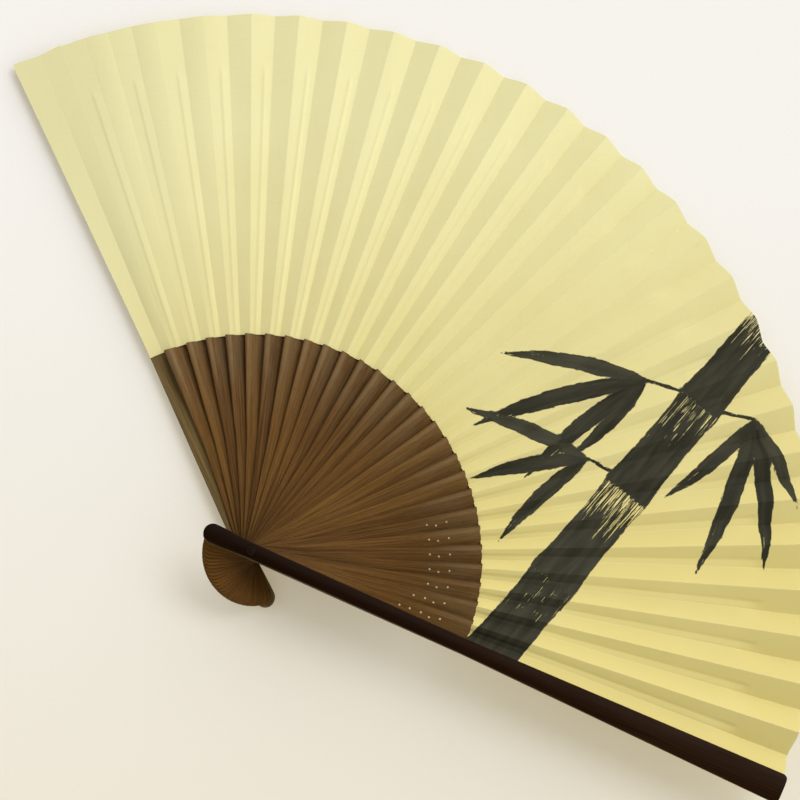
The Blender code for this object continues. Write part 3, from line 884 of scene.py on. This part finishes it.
def ink_at(points):
    """For places on the leaf: the distance inside a stroke's edge, the way along and across the stroke, and
    its dryness and thinness there."""
    upright = math.radians(MIDDLE_LINE_DEG)
    up = (points[:, 0] * math.cos(upright) + points[:, 1] * math.sin(upright)) * MM
    right = (points[:, 0] * math.sin(upright) - points[:, 1] * math.cos(upright)) * MM
    inside = np.full(len(points), NO_INK)
    stroke_place = np.zeros((len(points), 3))
    state = np.zeros((len(points), 3))
    for number, (line, start, end, kind, dry, thin) in enumerate(brush_strokes()):
        line = np.array(line, float)
        steps = np.linalg.norm(np.diff(line, axis=0), axis=1)
        passed = 0.0
        best = np.full(len(points), np.inf)
        along, across = np.zeros(len(points)), np.zeros(len(points))
        for first, second, step in zip(line[:-1], line[1:], steps):
            way = (second - first) / step
            ahead = (up - first[0]) * way[0] + (right - first[1]) * way[1]
            beside = -(up - first[0]) * way[1] + (right - first[1]) * way[0]
            on_line = np.clip(ahead, 0, step)
            away_from = np.hypot(ahead - on_line, beside)
            nearer = away_from < best
            best = np.where(nearer, away_from, best)
            along = np.where(nearer, passed + on_line, along)
            across = np.where(nearer, beside, across)
            passed += step
        share = along / steps.sum()
        depth = stroke_shape(kind, share, start, end) - best
        better = depth > inside
        inside = np.where(better, depth, inside)
        shift = np.full(len(points), INK_GRAIN_SHIFT_MM * number)
        stroke_place[better] = np.stack([along, across, shift], axis=1)[better]
        state[better, 0] = (dry * ease((share - DRY_START) / DRY_RUN))[better]
        state[better, 1] = thin
    return inside, stroke_place, state


PAPER_PALE = (0.880, 0.830, 0.450, 1.0)
PAPER_GOLDEN = (0.732, 0.628, 0.236, 1.0)
PAPER_PALE_Y, PAPER_GOLDEN_Y = 0.165, 0.005
PAPER_DULL = (0.815, 0.770, 0.415, 1.0)
PAPER_CLEAR_X, PAPER_DULL_X = -0.015, -0.075
PAPER_FIBRE = (0.620, 0.540, 0.250, 1.0)
PAPER_FOLD_WEAR_AND_HIGHLIGHT = (0.930, 0.890, 0.560, 1.0)
PAPER_GRAIN_DEPTH = 0.00010
FIBRE_SCALES = ((90.0, 1100.0, 300.0), (1000.0, 120.0, 300.0))
INK_BLACK = (0.018, 0.017, 0.007, 1.0)
INK_THIN = (0.075, 0.070, 0.040, 1.0)
RAGGED_SCALES, POOL_SCALES = (0.25, 1.2, 1.0), (0.05, 0.35, 1.0)
HAIR_SCALES, BREAK_SCALES = (0.030, 2.3, 1.0), (0.12, 0.9, 1.0)

# The paper is pale at the top and golden lower down, partly from age and partly a painted warm shade for the
# shaded pleats there. It is duller on the left, with fibres both ways and a paler line along each fold,
# partly wear and partly a painted highlight.
tree, shader, paper = new_finish("ivory_paper")
place = node(tree, "ShaderNodeTexCoord").outputs["Object"]
sideways, height = parts_of(tree, place)[:2]
mottle = noise(tree, place, 34.0)
fine = noise(tree, place, 1400.0, 3.0, 0.6)
fibres = sums(tree, "MAXIMUM", *(noise(tree, stretched(tree, place, scales), 1.0) for scales in FIBRE_SCALES))
# Golden lower down: partly ageing, partly painted warm shade.
ageing_and_warm_shade = remap(tree, height, PAPER_PALE_Y, PAPER_GOLDEN_Y, smooth=False)
colour = mixed(tree, plus(tree, ageing_and_warm_shade, centred(tree, mottle, 0.36), clamp=True), PAPER_PALE, PAPER_GOLDEN)
colour = mixed(tree, remap(tree, sideways, PAPER_CLEAR_X, PAPER_DULL_X), colour, PAPER_DULL)
colour = mixed(tree, remap(tree, fibres, 0.50, 0.78, 0.0, 0.06), colour, PAPER_FIBRE)
# A paler line along each fold: partly wear, partly a painted highlight along the crease.
colour = mixed(tree, remap(tree, kept(tree, "from_fold"), 0.0, 0.5, 0.15, 0.0), colour, PAPER_FOLD_WEAR_AND_HIGHLIGHT)

# The ink's edge is a little ragged, and it breaks up into hairs where the brush runs dry and pools elsewhere.
stroke_place = kept(tree, "ink_place", "Vector")
dryness, thinness = parts_of(tree, kept(tree, "ink_state", "Vector"))[:2]
ragged = noise(tree, stretched(tree, stroke_place, RAGGED_SCALES), 1.0, 4.0, 0.6)
covered = remap(tree, plus(tree, kept(tree, "ink_depth"), centred(tree, ragged, 1.6)), -0.12, 0.12)
hairs = noise(tree, stretched(tree, stroke_place, HAIR_SCALES), 1.0, 3.0, 0.6)
broken = noise(tree, stretched(tree, stroke_place, BREAK_SCALES), 1.0, 3.0, 0.6)
dry_level = plus(tree, times(tree, hairs, 0.6), times(tree, broken, 0.4))
threshold = remap(tree, dryness, 0.0, 1.0, 0.76, 0.44, smooth=False)
bare_paper = remap(tree, sums(tree, "SUBTRACT", dry_level, threshold), -0.012, 0.012)
ink = times(tree, covered, sums(tree, "SUBTRACT", 1.0, bare_paper))
pooled = remap(tree, noise(tree, stretched(tree, stroke_place, POOL_SCALES), 1.0), 0.3, 0.75, 0.0, 0.45)
ink_colour = mixed(tree, plus(tree, pooled, thinness, clamp=True), INK_BLACK, INK_THIN)
relief = plus(tree, times(tree, fibres, 0.7), plus(tree, fine, times(tree, mottle, 2.0)))
set_shader(tree, shader, Base_Color=mixed(tree, ink, colour, ink_colour),
           Roughness=remap(tree, ink, 0.0, 1.0, 0.82, 0.62, smooth=False), Specular_IOR_Level=0.2,
           Normal=bumps(tree, 0.35, PAPER_GRAIN_DEPTH, relief))

for number in range(LAST_PANEL + 1):
    stick = number // 2
    panel = flat_blank(f"leaf_panel_{number:02d}", PANEL_LENGTHWISE, PANEL_ACROSS)
    blank = points_of(panel)
    share = (blank[:, 1] + 1) / 2
    radius = LEAF_INNER + (LEAF_OUTER - LEAF_INNER) * (blank[:, 0] + 1) / 2
    set_points(panel, panel_points(number, share, radius))
    thicken(panel, PAPER_THICKNESS)
    points = points_of(panel)
    half = len(blank)
    front = np.concatenate([points[:half, 2] > points[half:, 2], points[half:, 2] > points[:half, 2]])
    # The tang's line is a broad low ridge by the left guard, then a narrow ridge, and a groove on the right.
    sunken = by_stick(stick, [13, 18], [0.0, 1.0])
    valley_side = by_stick(stick, [1, 6], [FLAT_RIDGE_SIDE, RIDGE_SIDE])
    ridge = (1 - sunken) * np.tile(tang_rise(number, share, radius, valley_side), 2)
    ridge *= by_stick(stick, [2, 7], [FLAT_RIDGE_SHARE, 1.0])
    points[:, 2] += ridge * np.where(front, TANG_HEIGHT, -TANG_DEPTH)
    points[:, 2] -= sunken * np.tile(tang_rise(number, share, radius, GROOVE_SIDE), 2) * TANG_GROOVE
    set_points(panel, points)
    # The front is inked, and so are the paper's own edges along the folds.
    depth, stroke_at, stroke_state = ink_at(points)
    on_fold = np.tile((share < 0.001) | (share > 0.999), 2)
    keep_values(panel, "ink_depth", np.where(front | on_fold, depth, NO_INK))
    keep_values(panel, "ink_place", stroke_at)
    keep_values(panel, "ink_state", stroke_state)
    keep_values(panel, "from_fold", np.tile(np.minimum(share, 1 - share) * 2 * radius * PANEL_SLOPE * MM, 2))
    smooth_by_angle(panel)
    coat(panel, paper)
    if number == 0:
        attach(panel, "left_guard")
        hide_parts("left_leaf_end")
    elif number == LAST_PANEL:
        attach(panel, "right_guard")
        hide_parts("right_leaf_end")
    elif number % 2:
        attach(panel, f"pleat_{stick:02d}")
        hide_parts(f"pleat_{stick:02d}")
    else:
        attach(panel, f"rib_{stick:02d}")
        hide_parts(f"rib_{stick:02d}")
